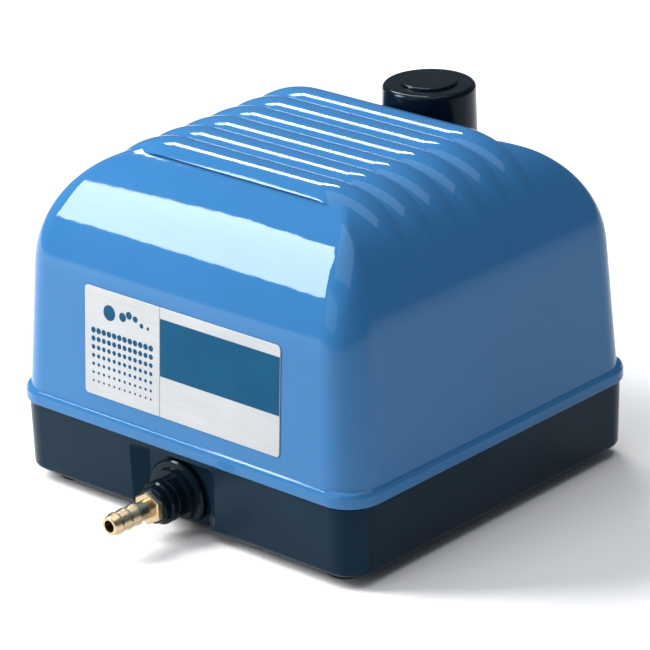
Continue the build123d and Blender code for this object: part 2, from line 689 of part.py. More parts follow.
with BuildPart() as coil_winding:
    with BuildSketch(facing_front(YOKE_Y - 2.5, 0, COIL_MIDDLE_Z)):
        RectangleRounded(2 * LEG_INNER - 5, CORE_HEIGHT + 16, 4)
        Rectangle(BARREL_X, BARREL_Z, mode=Mode.SUBTRACT)
    extrude(amount=COIL_LENGTH)
save(coil_winding, "coil_winding")

# Bracket that carries the two pivot pins, bent from strip.
with BuildPart() as pivot_bracket:
    with BuildSketch(facing_right(-BRACKET_HALF)):
        with Locations((BRACKET_BACK_Y + 9, PLATE_TOP + 1)):
            Rectangle(18, 2)
        with Locations((BRACKET_BACK_Y + 1, (PLATE_TOP + PIVOT_UPPER_Z + 2) / 2)):
            Rectangle(2, PIVOT_UPPER_Z + 2 - PLATE_TOP)
        for z in PIVOT_LOWER_Z, PIVOT_UPPER_Z + 1:
            with Locations((BRACKET_BACK_Y + 9, z)):
                Rectangle(18, 2)
    extrude(amount=2 * BRACKET_HALF)
    with BuildSketch(level(PIVOT_LOWER_Z - 2, y=PIVOT_Y)):
        with GridLocations(2 * PIVOT_X, 0, 2, 1):
            Circle(PIN_R)
    extrude(amount=60, mode=Mode.SUBTRACT)
save(pivot_bracket, "pivot_bracket")

with BuildPart() as pivot_pins:
    with BuildSketch(level(PIVOT_LOWER_Z - 3, y=PIVOT_Y)):
        with GridLocations(2 * PIVOT_X, 0, 2, 1):
            Circle(PIN_R)
    extrude(amount=PIVOT_UPPER_Z + 5 - PIVOT_LOWER_Z)
    with BuildSketch(level(PIVOT_UPPER_Z + 2, y=PIVOT_Y)):
        with GridLocations(2 * PIVOT_X, 0, 2, 1):
            Circle(PIN_R + 1.5)
    extrude(amount=1.5)
save(pivot_pins, "pivot_pins")


def air_side(side, name):
    """One pumping side: its arm on the pivot, its diaphragm and its valve chamber."""
    arm_x = side * PIVOT_X

    with BuildPart() as arm_bush:
        with BuildSketch(level(PIVOT_LOWER_Z + 1.5, arm_x, PIVOT_Y)):
            Circle(4.5)
            Circle(PIN_R + BUSH_CLEARANCE, mode=Mode.SUBTRACT)
        extrude(amount=PIVOT_UPPER_Z - PIVOT_LOWER_Z - 2)
    save(arm_bush, f"arm_bush_{name}")

    with BuildPart() as swing_arm:
        with BuildSketch(level(DRIVE_Z - 8, arm_x)):
            with Locations((0, PIVOT_Y)):
                Circle(7)
            with Locations((0, (PIVOT_Y + MAGNET_Y) / 2)):
                Rectangle(5, MAGNET_Y - PIVOT_Y)
            with Locations((0, MAGNET_Y - 1.5)):
                Rectangle(14, 3)
            with Locations((0, PIVOT_Y)):
                Circle(4.5, mode=Mode.SUBTRACT)
        extrude(amount=16)
        with BuildSketch(facing_right(arm_x, DIAPHRAGM_Y, DRIVE_Z)):
            Circle(2.0)
        extrude(amount=10, both=True, mode=Mode.SUBTRACT)
    save(swing_arm, f"swing_arm_{name}")

    with BuildPart() as arm_magnet:
        with BuildSketch(facing_front(MAGNET_Y, arm_x, DRIVE_Z)):
            Rectangle(12, 20)
        extrude(amount=-MAGNET_LENGTH)
        chamfer(arm_magnet.edges().filter_by(Axis.Y), 0.6)
    save(arm_magnet, f"arm_magnet_{name}")

    # Stud from the arm with a washer on each face of the diaphragm.
    back = DIAPHRAGM_X + DIAPHRAGM_T
    lengths = [
        (PIVOT_X - 5.5, PIVOT_X + 2.5, 2.0),
        (PIVOT_X + 2.5, DIAPHRAGM_X - 2.1, 3.2),
        (DIAPHRAGM_X - 2.1, DIAPHRAGM_X - WASHER_GAP, 9.0),
        (DIAPHRAGM_X - WASHER_GAP, back + WASHER_GAP, 1.8),
        (back + WASHER_GAP, back + 1.6, 8.0),
        (back + 1.6, back + 3.5, 3.0),
    ]
    with BuildPart() as diaphragm_stud:
        for start, end, radius in lengths:
            with BuildSketch(facing_right(side * start, DIAPHRAGM_Y, DRIVE_Z)):
                Circle(radius)
            extrude(amount=side * (end - start))
    save(diaphragm_stud, f"diaphragm_stud_{name}")

    with BuildPart() as diaphragm:
        with BuildSketch(facing_right(side * DIAPHRAGM_X, DIAPHRAGM_Y, DRIVE_Z)):
            Circle(DIAPHRAGM_R)
            Circle(2.0, mode=Mode.SUBTRACT)
        extrude(amount=side * DIAPHRAGM_T)
    save(diaphragm, f"diaphragm_{name}")

    # Chamber on two rails, open towards the diaphragm.
    inner = DIAPHRAGM_X + DIAPHRAGM_T
    with BuildPart() as chamber:
        with BuildSketch(facing_right(side * inner, DIAPHRAGM_Y, DRIVE_Z)):
            RectangleRounded(CHAMBER_SIZE, CHAMBER_SIZE, 5)
            Circle(CHAMBER_BORE, mode=Mode.SUBTRACT)
        extrude(amount=side * CHAMBER_DEPTH)
        with BuildSketch(level(PLATE_TOP, side * (inner + CHAMBER_DEPTH / 2), DIAPHRAGM_Y)):
            with GridLocations(0, CHAMBER_SIZE - 10, 1, 2):
                Rectangle(CHAMBER_DEPTH, 8)
        extrude(amount=DRIVE_Z - CHAMBER_SIZE / 2 + 2 - PLATE_TOP)
        with BuildSketch(facing_right(side * inner, DIAPHRAGM_Y, DRIVE_Z)):
            with GridLocations(SCREW_SPREAD, SCREW_SPREAD, 2, 2):
                Circle(1.5)
        extrude(amount=side * CHAMBER_DEPTH, mode=Mode.SUBTRACT)
    save(chamber, f"chamber_{name}")

    plate_x = inner + CHAMBER_DEPTH
    with BuildPart() as valve_plate:
        with BuildSketch(facing_right(side * plate_x, DIAPHRAGM_Y, DRIVE_Z)):
            RectangleRounded(CHAMBER_SIZE, CHAMBER_SIZE, 5)
            with GridLocations(SCREW_SPREAD, SCREW_SPREAD, 2, 2):
                Circle(1.5, mode=Mode.SUBTRACT)
            with GridLocations(6, 2 * PORT_RISE, 2, 2):
                Circle(2.0, mode=Mode.SUBTRACT)
        extrude(amount=side * VALVE_PLATE_T)
    save(valve_plate, f"valve_plate_{name}")

    # The inlet flap opens into the chamber and the outlet flap away from it.
    for flap_name, rise, flap_x in (
        ("inlet_flap", PORT_RISE, plate_x - FLAP_GAP - FLAP_T),
        ("outlet_flap", -PORT_RISE, plate_x + VALVE_PLATE_T + FLAP_GAP),
    ):
        with BuildPart() as flap:
            with BuildSketch(facing_right(side * flap_x, DIAPHRAGM_Y, DRIVE_Z + rise)):
                RectangleRounded(12, FLAP_HEIGHT, 1.5)
            extrude(amount=side * FLAP_T)
        save(flap, f"{flap_name}_{name}")

    cover_x = plate_x + VALVE_PLATE_T + 0.8
    with BuildPart() as chamber_gasket:
        with BuildSketch(facing_right(side * (cover_x - 0.8), DIAPHRAGM_Y, DRIVE_Z)):
            RectangleRounded(CHAMBER_SIZE, CHAMBER_SIZE, 5)
            with GridLocations(SCREW_SPREAD, SCREW_SPREAD, 2, 2):
                Circle(1.5, mode=Mode.SUBTRACT)
            with GridLocations(0, 2 * PORT_RISE, 1, 2):
                Rectangle(24, 15, mode=Mode.SUBTRACT)
        extrude(amount=side * 0.8)
    save(chamber_gasket, f"chamber_gasket_{name}")

    with BuildPart() as chamber_cover:
        with BuildSketch(facing_right(side * cover_x, DIAPHRAGM_Y, DRIVE_Z)):
            RectangleRounded(CHAMBER_SIZE, CHAMBER_SIZE, 5)
            with GridLocations(SCREW_SPREAD, SCREW_SPREAD, 2, 2):
                Circle(1.5, mode=Mode.SUBTRACT)
        extrude(amount=side * COVER_DEPTH)
        with BuildSketch(facing_right(side * cover_x, DIAPHRAGM_Y, DRIVE_Z)):
            with GridLocations(0, 2 * PORT_RISE, 1, 2):
                Rectangle(24, 15)
        extrude(amount=side * (COVER_DEPTH - 2.5), mode=Mode.SUBTRACT)
        # Air enters through a slot in the top and leaves by a nipple underneath.
        with BuildSketch(level(DRIVE_Z + PORT_RISE, side * (cover_x + 6), DIAPHRAGM_Y)):
            SlotOverall(16, 5, rotation=90)
        extrude(amount=20, mode=Mode.SUBTRACT)
        with BuildSketch(level(DRIVE_Z - PORT_RISE - 7.5, side * TUBE_X, DIAPHRAGM_Y)):
            Circle(NIPPLE_R)
        extrude(amount=-(DRIVE_Z - PORT_RISE - 7.5 - TUBE_TOP_Z) - 5.5)
        with BuildSketch(level(DRIVE_Z - PORT_RISE, side * TUBE_X, DIAPHRAGM_Y)):
            Circle(NIPPLE_BORE)
        extrude(amount=-40, mode=Mode.SUBTRACT)
    save(chamber_cover, f"chamber_cover_{name}")

    with BuildPart() as chamber_screws:
        with BuildSketch(facing_right(side * (inner + 1), DIAPHRAGM_Y, DRIVE_Z)):
            with GridLocations(SCREW_SPREAD, SCREW_SPREAD, 2, 2):
                Circle(1.5)
        extrude(amount=side * (cover_x + COVER_DEPTH - inner - 1))
        with BuildSketch(facing_right(side * (cover_x + COVER_DEPTH), DIAPHRAGM_Y, DRIVE_Z)):
            with GridLocations(SCREW_SPREAD, SCREW_SPREAD, 2, 2):
                Circle(2.8)
        extrude(amount=side * 2)
    save(chamber_screws, f"chamber_screws_{name}")

    # Rubber tube from the chamber cover down to the junction.
    junction_x = OUTLET_X + side * (NIPPLE_END - 8)
    corner_x = junction_x + side * 20
    route = [
        (side * TUBE_X, CASE_Y + DIAPHRAGM_Y, CASE_Z + TUBE_TOP_Z),
        (side * TUBE_X, CASE_Y + DIAPHRAGM_Y, CASE_Z + OUTLET_Z),
        (corner_x, CASE_Y + MANIFOLD_Y, CASE_Z + OUTLET_Z),
        (junction_x, CASE_Y + MANIFOLD_Y, CASE_Z + OUTLET_Z),
    ]
    with BuildPart() as air_tube:
        with BuildLine():
            FilletPolyline(*route, radius=6.5)
        with BuildSketch(Plane(route[0], x_dir=(1, 0, 0), z_dir=(0, 0, -1))):
            Circle(TUBE_R)
            Circle(NIPPLE_R, mode=Mode.SUBTRACT)
        sweep()
    save(air_tube, f"air_tube_{name}")


air_side(-1, "left")
air_side(1, "right")

# ======================================================================
# Electrics
# ======================================================================

# Gland body with its hexagon outside the wall, and the lock nut and dome nut on its threads.
with BuildPart() as cable_gland:
    with BuildSketch(facing_front(PAN_HALF_Y - 9, GLAND_X, GLAND_Z)):
        Circle(GLAND_THREAD_R)
    extrude(amount=-(GLAND_END_Y - 3 - PAN_HALF_Y + 9))
    with BuildSketch(facing_front(PAN_HALF_Y + 0.6, GLAND_X, GLAND_Z)):
        RegularPolygon(8.5, 6, major_radius=False)
    extrude(amount=-4.4)
    with BuildSketch(facing_front(PAN_HALF_Y - 12, GLAND_X, GLAND_Z)):
        Circle(CABLE_R)
    extrude(amount=-50, mode=Mode.SUBTRACT)
save(cable_gland, "cable_gland")

with BuildPart() as gland_locknut:
    with BuildSketch(facing_front(PAN_HALF_Y - PAN_WALL, GLAND_X, GLAND_Z)):
        RegularPolygon(8.5, 6, major_radius=False)
        Circle(GLAND_THREAD_R, mode=Mode.SUBTRACT)
    extrude(amount=4)
save(gland_locknut, "gland_locknut")

with BuildPart() as gland_cap:
    with BuildSketch(facing_front(PAN_HALF_Y + 5, GLAND_X, GLAND_Z)):
        Circle(8.4)
    extrude(amount=-(GLAND_END_Y - PAN_HALF_Y - 5))
    fillet(gland_cap.edges().group_by(Axis.Y)[-1], 3)
    with BuildSketch(facing_front(PAN_HALF_Y + 5, GLAND_X, GLAND_Z)):
        Circle(GLAND_THREAD_R)
    extrude(amount=-(GLAND_END_Y - 3 - PAN_HALF_Y - 5), mode=Mode.SUBTRACT)
    with BuildSketch(facing_front(PAN_HALF_Y, GLAND_X, GLAND_Z)):
        Circle(CABLE_R)
    extrude(amount=-40, mode=Mode.SUBTRACT)
    with BuildSketch(facing_front(PAN_HALF_Y + 6, GLAND_X, GLAND_Z)):
        with PolarLocations(8.6, 12):
            Circle(0.7)
    extrude(amount=-6, mode=Mode.SUBTRACT)
save(gland_cap, "gland_cap")

with BuildPart() as terminal_block:
    with BuildSketch(level(TERMINAL_Z, TERMINAL_X, TERMINAL_Y)):
        Rectangle(28, 14)
    extrude(amount=13)
    with BuildSketch(level(TERMINAL_Z + 13, TERMINAL_X, TERMINAL_Y)):
        with GridLocations(9, 8, 3, 2):
            Circle(1.8)
    extrude(amount=-6, mode=Mode.SUBTRACT)
    chamfer(terminal_block.edges().filter_by(Axis.X).group_by(Axis.Z)[-1], 0.8)
save(terminal_block, "terminal_block")

with BuildPart() as terminal_screws:
    with BuildSketch(level(TERMINAL_Z + 7, TERMINAL_X, TERMINAL_Y)):
        with GridLocations(9, 8, 3, 2):
            Circle(1.8)
    extrude(amount=3)
    with BuildSketch(level(TERMINAL_Z + 9.4, TERMINAL_X, TERMINAL_Y)):
        with GridLocations(9, 8, 3, 2):
            Rectangle(3.8, 0.6)
    extrude(amount=1, mode=Mode.SUBTRACT)
save(terminal_screws, "terminal_screws")

# Two insulated leads from the coil, over the magnet core and down to the terminal block.
with BuildPart() as coil_leads:
    for side in (-1, 1):
        start = (side * 6, CASE_Y + YOKE_Y - 6, CASE_Z + COIL_TOP_Z)
        down_x = TERMINAL_X + side * 4.5
        over_z = CASE_Z + COIL_TOP_Z + 8
        entry_z = CASE_Z + TERMINAL_Z + 8
        with BuildLine():
            FilletPolyline(
                start,
                (side * 6, CASE_Y + YOKE_Y - 6, over_z),
                (down_x, CASE_Y + TERMINAL_Y - 16, over_z),
                (down_x, CASE_Y + TERMINAL_Y - 16, entry_z),
                (down_x, CASE_Y + TERMINAL_Y - 7, entry_z),
                radius=4,
            )
        with BuildSketch(Plane(start)):
            Circle(1.1)
        sweep()
save(coil_leads, "coil_leads")
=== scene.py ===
"""Looks of the twin-diaphragm air pump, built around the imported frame. Metres, +Z up, -Y front."""

import json
import math
import random

import bmesh
import bpy
from mathutils import Matrix, Vector


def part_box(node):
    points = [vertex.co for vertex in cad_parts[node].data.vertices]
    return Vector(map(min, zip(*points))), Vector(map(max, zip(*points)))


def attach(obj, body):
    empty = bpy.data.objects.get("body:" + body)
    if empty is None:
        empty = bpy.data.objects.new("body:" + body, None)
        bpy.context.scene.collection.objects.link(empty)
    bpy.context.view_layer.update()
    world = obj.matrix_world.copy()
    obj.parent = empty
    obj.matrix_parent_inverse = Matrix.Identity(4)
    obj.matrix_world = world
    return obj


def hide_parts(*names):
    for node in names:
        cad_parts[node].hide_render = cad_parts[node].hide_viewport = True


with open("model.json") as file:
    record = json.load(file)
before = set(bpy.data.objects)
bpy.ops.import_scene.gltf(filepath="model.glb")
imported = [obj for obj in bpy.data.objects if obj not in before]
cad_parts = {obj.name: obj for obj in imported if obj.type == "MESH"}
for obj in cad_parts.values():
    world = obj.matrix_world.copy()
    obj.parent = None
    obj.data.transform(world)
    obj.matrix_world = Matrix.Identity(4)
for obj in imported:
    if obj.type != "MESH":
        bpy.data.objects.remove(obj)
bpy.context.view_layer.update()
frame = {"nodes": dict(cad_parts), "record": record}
random.seed(7)            # for the unevenness of the foam

MM = 0.001
CASE_Y = 11.9 * MM        # casing centre in the frame
CASE_Z = 3.0 * MM
FRONT_SLOPE = 0.060       # radians that the front wall leans back


# ======================================================================
# Camera, floor and light
# ======================================================================

def aim(azimuth, elevation):
    """Unit vector from the object towards a direction; azimuth 0 is the front, 90 the right."""
    a, e = math.radians(azimuth), math.radians(elevation)
    return Vector((math.sin(a) * math.cos(e), -math.cos(a) * math.cos(e), math.sin(e)))


CAM_AZIMUTH = 42.195      # degrees
CAM_ELEVATION = 22.269
CAM_ROLL = -1.536
CAM_DISTANCE = 1.6857
CAM_LENS = 208.12         # millimetres, on a sensor of this width
CAM_SENSOR = 36.0
TARGET = Vector((0.000729, CASE_Y, 0.06485 + CASE_Z))

back = aim(CAM_AZIMUTH, CAM_ELEVATION)
right = Vector((math.cos(math.radians(CAM_AZIMUTH)), math.sin(math.radians(CAM_AZIMUTH)), 0))
up = back.cross(right)
roll = math.radians(CAM_ROLL)
rolled_right = right * math.cos(roll) + up * math.sin(roll)
rolled_up = up * math.cos(roll) - right * math.sin(roll)
camera_data = bpy.data.cameras.new("camera")
camera_data.lens = CAM_LENS
camera_data.sensor_width = CAM_SENSOR
camera_data.clip_start = 0.05
camera_data.clip_end = 60.0
camera = bpy.data.objects.new("camera", camera_data)
turn = Matrix((rolled_right, rolled_up, back)).transposed().to_4x4()
camera.matrix_world = Matrix.Translation(TARGET + back * CAM_DISTANCE) @ turn
bpy.context.scene.collection.objects.link(camera)
bpy.context.scene.camera = camera
bpy.context.scene.view_settings.view_transform = "Standard"


def softbox(name, azimuth, elevation, distance, width, height, radiance, tilt=0.0, across=0.0, along=0.0):
    """Rectangular area light in a plane that faces the object, moved across and along that plane."""
    data = bpy.data.lights.new(name, "AREA")
    data.shape = "RECTANGLE"
    data.size = width
    data.size_y = height
    data.energy = radiance * math.pi * width * height
    light = bpy.data.objects.new(name, data)
    place = TARGET + aim(azimuth, elevation) * distance
    facing = (place - TARGET).to_track_quat("Z", "Y").to_matrix().to_4x4()
    moved = facing @ Matrix.Translation((across, along, 0)) @ Matrix.Rotation(math.radians(tilt), 4, "Z")
    light.matrix_world = Matrix.Translation(place) @ moved
    bpy.context.scene.collection.objects.link(light)


softbox("box_front_left", -62, 41, 1.6, 0.97, 0.457, 25.0, tilt=-63.1, across=0.213, along=-0.057)
softbox("box_back_left", -116, 45, 1.6, 0.17, 0.70, 26.0, tilt=80.0, across=-0.188, along=-0.045)
softbox("box_above", 20, 86, 2.4, 2.4, 2.4, 1.9)
softbox("box_front", -8, 26, 2.6, 1.8, 1.3, 1.5)

world = bpy.data.worlds.new("studio")
bpy.context.scene.world = world
world.use_nodes = True
world.node_tree.nodes["Background"].inputs["Color"].default_value = (0.62, 0.68, 0.75, 1)
world.node_tree.nodes["Background"].inputs["Strength"].default_value = 0.22


# ======================================================================
# Materials
# ======================================================================

class Shade:
    """Small builder for a node material around one Principled shader."""

    def __init__(self, name):
        self.material = bpy.data.materials.new(name)
        self.material.use_nodes = True
        self.tree = self.material.node_tree
        self.shader = self.tree.nodes["Principled BSDF"]
        self.place = self.node("ShaderNodeTexCoord").outputs["Object"]

    def node(self, kind, inputs=None, **settings):
        made = self.tree.nodes.new(kind)
        for key, value in settings.items():
            setattr(made, key, value)
        for key, value in (inputs or {}).items():
            self.feed(made.inputs[key], value)
        return made

    def feed(self, socket, value):
        if isinstance(value, bpy.types.NodeSocket):
            self.tree.links.new(value, socket)
        else:
            socket.default_value = value

    def stretched(self, scale):
        """Object coordinates multiplied by (x, y, z)."""
        return self.node("ShaderNodeVectorMath", {0: self.place, 1: scale}, operation="MULTIPLY").outputs[0]

    def noise(self, scale, detail=3.0, rough=0.55, place=None):
        made = self.node("ShaderNodeTexNoise", {"Vector": place or self.place, "Scale": scale,
                                                "Detail": detail, "Roughness": rough})
        return made.outputs["Fac"]

    def spread(self, value, low, high, start=0.3, end=0.7):
        """Map a 0-1 pattern to low-high."""
        made = self.node("ShaderNodeMapRange", {"Value": value, "From Min": start, "From Max": end,
                                                "To Min": low, "To Max": high})
        return made.outputs["Result"]

    def math(self, kind, a, b=0.0):
        return self.node("ShaderNodeMath", {0: a, 1: b}, operation=kind).outputs[0]

    def blend(self, factor, first, second):
        made = self.node("ShaderNodeMix", {0: factor}, data_type="RGBA")
        self.feed(made.inputs[6], first)
        self.feed(made.inputs[7], second)
        return made.outputs[2]

    def bump(self, height, depth, under=None):
        made = self.node("ShaderNodeBump", {"Height": height, "Strength": 1.0, "Distance": depth})
        if under is not None:
            self.feed(made.inputs["Normal"], under)
        return made.outputs["Normal"]

    def put(self, **sockets):
        for key, value in sockets.items():
            self.feed(self.shader.inputs[key.replace("_", " ")], value)
        return self


def rgba(colour):
    return (*colour, 1.0)


def moulded(name, dark, light, rough, patch=26.0, grain=1500.0, depth=0.000006, sink=0.00001, **sockets):
    """Moulded plastic or rubber: cloudy colour, uneven gloss, fine grain and faint flow marks."""
    s = Shade(name)
    cloud = s.noise(patch, 4.0)
    fine = s.noise(grain, 2.0)
    flow = s.noise(patch * 1.7, 2.0, place=s.stretched((1.0, 1.0, 0.35)))
    normal = s.bump(fine, depth, s.bump(flow, sink))
    s.put(Base_Color=s.blend(s.spread(cloud, 0, 1), rgba(dark), rgba(light)),
          Roughness=s.spread(s.noise(patch * 3.1, 5.0), rough[0], rough[1]), Normal=normal)
    return s.put(**sockets).material


def metal(name, dark, light, rough, brush=(1.0, 1.0, 1.0), grain=900.0, depth=0.00001, **sockets):
    """Worked metal: stretched brush marks, patchy tarnish and uneven polish."""
    s = Shade(name)
    marks = s.noise(grain, 3.0, place=s.stretched(brush))
    tarnish = s.noise(70.0, 5.0, 0.65)
    s.put(Base_Color=s.blend(s.spread(tarnish, 0, 1), rgba(dark), rgba(light)), Metallic=1.0,
          Roughness=s.spread(s.noise(210.0, 4.0), rough[0], rough[1]), Normal=s.bump(marks, depth))
    return s.put(**sockets).material


def striped(name, dark, light, rough, axis, pitch, depth, **sockets):
    """Fine parallel lines across an axis, such as laminations, windings or turning marks; the colour is
    darker in the grooves, painted shade for windings and turning marks and the real dark joints for
    laminations.
    """
    s = Shade(name)
    along = s.node("ShaderNodeSeparateXYZ", {0: s.place}).outputs[axis]
    wave = s.math("SINE", s.math("MULTIPLY", along, 2 * math.pi / pitch))
    ridge = s.spread(wave, 0, 1, -1, 1)
    cloud = s.noise(60.0, 4.0)
    # Colour follows the ridge: grooves darker as painted shade, except in laminations where they stand for
    # the real dark joints.
    tint = s.math("MULTIPLY", s.math("ADD", ridge, cloud), 0.5)
    s.put(Base_Color=s.blend(s.spread(tint, 0, 1, 0.2, 0.8), rgba(dark), rgba(light)),
          Roughness=s.spread(cloud, rough[0], rough[1]),
          Normal=s.bump(ridge, depth, s.bump(s.noise(1400.0, 2.0), depth * 0.3)))
    return s.put(**sockets).material


def foam(name, dark, light, cell, depth):
    """Open-cell foam: small pores, painted darker as shade inside them, between lighter struts."""
    s = Shade(name)
    pores = s.node("ShaderNodeTexVoronoi", {"Vector": s.place, "Scale": cell}).outputs["Distance"]
    # The pores get the dark colour: painted shade inside the holes; the struts get the light one.
    s.put(Base_Color=s.blend(s.spread(pores, 0, 1, 0.05, 0.6), rgba(dark), rgba(light)),
          Roughness=s.spread(s.noise(120.0), 0.85, 1.0), Normal=s.bump(pores, depth))
    return s.put(Sheen_Weight=0.25, Sheen_Roughness=0.6).material


# The index and tint of the three gloss plastics keep the pale floor's reflection in their walls faint.
COVER_BLUE = moulded("cover_blue", (0.030, 0.150, 0.352), (0.037, 0.163, 0.378), (0.035, 0.065),
                     patch=14.0, depth=0.0000015, sink=0.00002,
                     IOR=1.33, Specular_Tint=(0.85, 0.95, 1.0, 1))
PAN_BLACK = moulded("pan_black", (0.004, 0.012, 0.022), (0.007, 0.018, 0.032), (0.16, 0.26),
                    patch=16.0, depth=0.000002, sink=0.00003,
                    IOR=1.25, Specular_Tint=(0.25, 0.62, 1.0, 1))
FITTING = moulded("fitting_black", (0.002, 0.005, 0.009), (0.005, 0.010, 0.016), (0.10, 0.20), patch=60.0,
                  IOR=1.26, Specular_Tint=(0.55, 0.80, 1.0, 1))
RUBBER = moulded("rubber_black", (0.010, 0.010, 0.011), (0.024, 0.024, 0.026), (0.62, 0.80), depth=0.00002)
GASKET = moulded("rubber_gasket", (0.008, 0.008, 0.010), (0.018, 0.018, 0.020), (0.55, 0.72), depth=0.00001)
TUBE = moulded("rubber_tube", (0.012, 0.012, 0.014), (0.028, 0.028, 0.032), (0.38, 0.55), depth=0.000008)
CHAMBER = moulded("chamber_nylon", (0.030, 0.030, 0.033), (0.052, 0.052, 0.056), (0.42, 0.60),
                  depth=0.00003)
BOBBIN = moulded("bobbin_nylon", (0.52, 0.49, 0.41), (0.64, 0.61, 0.53), (0.35, 0.50), depth=0.00001,
                 Subsurface_Weight=0.08, Subsurface_Scale=0.002)
TERMINAL = moulded("terminal_polyamide", (0.60, 0.60, 0.55), (0.72, 0.72, 0.67), (0.35, 0.50),
                   depth=0.00001)
LEAD = moulded("lead_silicone", (0.22, 0.020, 0.015), (0.34, 0.035, 0.025), (0.40, 0.60), depth=0.00001)
BRASS = striped("brass_turned", (0.50, 0.365, 0.21), (0.70, 0.55, 0.35), (0.20, 0.36), 1, 0.00042, 0.000006,
                Metallic=1.0)
ZINC = metal("zinc_sheet", (0.46, 0.48, 0.47), (0.66, 0.67, 0.64), (0.28, 0.46), (1.0, 0.12, 1.0))
STEEL = metal("fastener_steel", (0.42, 0.43, 0.45), (0.60, 0.61, 0.62), (0.24, 0.40))
ALLOY = metal("arm_aluminium", (0.58, 0.59, 0.60), (0.76, 0.77, 0.78), (0.26, 0.42), (0.1, 1.0, 1.0))
NICKEL = metal("magnet_nickel", (0.50, 0.49, 0.46), (0.66, 0.65, 0.61), (0.12, 0.24), depth=0.000003)
CORE = striped("core_laminations", (0.050, 0.048, 0.050), (0.17, 0.165, 0.165), (0.38, 0.58), 2, 0.0010,
               0.00006, Metallic=0.7)
COPPER = striped("copper_winding", (0.26, 0.075, 0.022), (0.56, 0.21, 0.075), (0.22, 0.36), 1, 0.0009,
                 0.00012, Metallic=0.85, Coat_Weight=0.5)
FILTER_FOAM = foam("filter_foam", (0.010, 0.010, 0.011), (0.085, 0.085, 0.09), 900.0, 0.0005)
PAD_FOAM = foam("damping_foam", (0.020, 0.020, 0.022), (0.115, 0.115, 0.12), 1300.0, 0.0003)


def label_film():
    """Silver printed film with a fine metallic grain."""
    s = Shade("label_film")
    brushed = s.noise(420.0, 4.0, place=s.stretched((0.06, 1.0, 1.0)))
    cloud = s.noise(30.0, 3.0)
    tone = s.math("MULTIPLY", s.math("ADD", brushed, cloud), 0.5)
    colour = s.blend(s.spread(tone, 0, 1, 0.35, 0.65), (0.40, 0.415, 0.425, 1), (0.47, 0.482, 0.49, 1))
    s.put(Base_Color=colour, Metallic=0.15, Roughness=s.spread(cloud, 0.30, 0.42),
          Normal=s.bump(brushed, 0.000004))
    return s.material


FILM = label_film()
INK_TEAL = moulded("ink_teal", (0.0004, 0.060, 0.135), (0.0008, 0.070, 0.155), (0.28, 0.40), patch=80.0,
                   depth=0.000002, sink=0.000002, IOR=1.18)
INK_GREY = moulded("ink_grey", (0.16, 0.19, 0.21), (0.21, 0.24, 0.26), (0.30, 0.42), patch=80.0,
                   depth=0.000002, sink=0.000002)

SLOT_LOOK = {
    "blue_housing": COVER_BLUE, "black_housing": PAN_BLACK, "black_rubber": RUBBER, "label_print": FILM,
    "black_fitting": FITTING, "brass": BRASS, "filter_foam": FILTER_FOAM, "damping_foam": PAD_FOAM,
    "zinc_steel": ZINC, "fastener_steel": STEEL, "lamination_steel": CORE, "copper_winding": COPPER,
    "bobbin_nylon": BOBBIN, "arm_aluminium": ALLOY, "magnet_nickel": NICKEL, "chamber_plastic": CHAMBER,
    "gasket_rubber": GASKET, "tube_rubber": TUBE, "terminal_plastic": TERMINAL, "lead_insulation": LEAD,
}


def dress(thing, material):
    thing.data.materials.clear()
    thing.data.materials.append(material)


for subpart in frame["record"]["subparts"]:
    dress(frame["nodes"][subpart["node"]], SLOT_LOOK[subpart["material_slot"]])


# ======================================================================
# Floor
# ======================================================================

FLOOR_HALF = 9.0
floor_mesh = bpy.data.meshes.new("floor")
floor_signs = (-1, -1), (1, -1), (1, 1), (-1, 1)
floor_mesh.from_pydata([(x * FLOOR_HALF, y * FLOOR_HALF, 0) for x, y in floor_signs], [], [(0, 1, 2, 3)])
floor = bpy.data.objects.new("floor", floor_mesh)
bpy.context.scene.collection.objects.link(floor)
paper = Shade("floor_paper")
pale = paper.blend(paper.spread(paper.noise(3.0), 0, 1), (0.93, 0.93, 0.93, 1), (0.95, 0.95, 0.95, 1))
paper.put(Base_Color=pale, Roughness=paper.spread(paper.noise(40.0), 0.85, 0.95), Specular_IOR_Level=0.0)
dress(floor, paper.material)


# ======================================================================
# Printed label
# ======================================================================

label_low, label_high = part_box("label_plate")
LABEL_U = Vector((1, 0, 0))
LABEL_V = Vector((0, math.sin(FRONT_SLOPE), math.cos(FRONT_SLOPE)))
LABEL_N = Vector((0, -math.cos(FRONT_SLOPE), math.sin(FRONT_SLOPE)))
LABEL_WIDE = label_high.x - label_low.x
LABEL_TALL = (label_high.z - label_low.z) / math.cos(FRONT_SLOPE)
# Lower left corner of the plate's face, which is its foremost edge.
label_corner = Vector((label_low.x, label_low.y, label_low.z))
INK = 0.04 * MM           # the print's face stands this far off the film
INK_FOOT = 0.005 * MM     # and its underside this far


def piece(name, build, material, body):
    """Make a mesh object from a bmesh-filling function and let it ride on a body."""
    mesh = bpy.data.meshes.new(name)
    shape = bmesh.new()
    build(shape)
    bmesh.ops.recalc_face_normals(shape, faces=shape.faces)
    shape.to_mesh(mesh)
    shape.free()
    thing = bpy.data.objects.new(name, mesh)
    bpy.context.scene.collection.objects.link(thing)
    mesh.materials.append(material)
    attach(thing, body)
    return thing


def on_label(u, v, rise):
    """Point on the label's face, u and v in shares of its width and height."""
    return label_corner + LABEL_U * (u * LABEL_WIDE) + LABEL_V * (v * LABEL_TALL) + LABEL_N * rise


def slab(shape, outline):
    """Thin printed patch with a closed edge; outline is a list of (u, v)."""
    top = [shape.verts.new(on_label(u, v, INK)) for u, v in outline]
    low = [shape.verts.new(on_label(u, v, INK_FOOT)) for u, v in outline]
    shape.faces.new(top)
    shape.faces.new(list(reversed(low)))
    for i in range(len(outline)):
        j = (i + 1) % len(outline)
        shape.faces.new((top[i], low[i], low[j], top[j]))


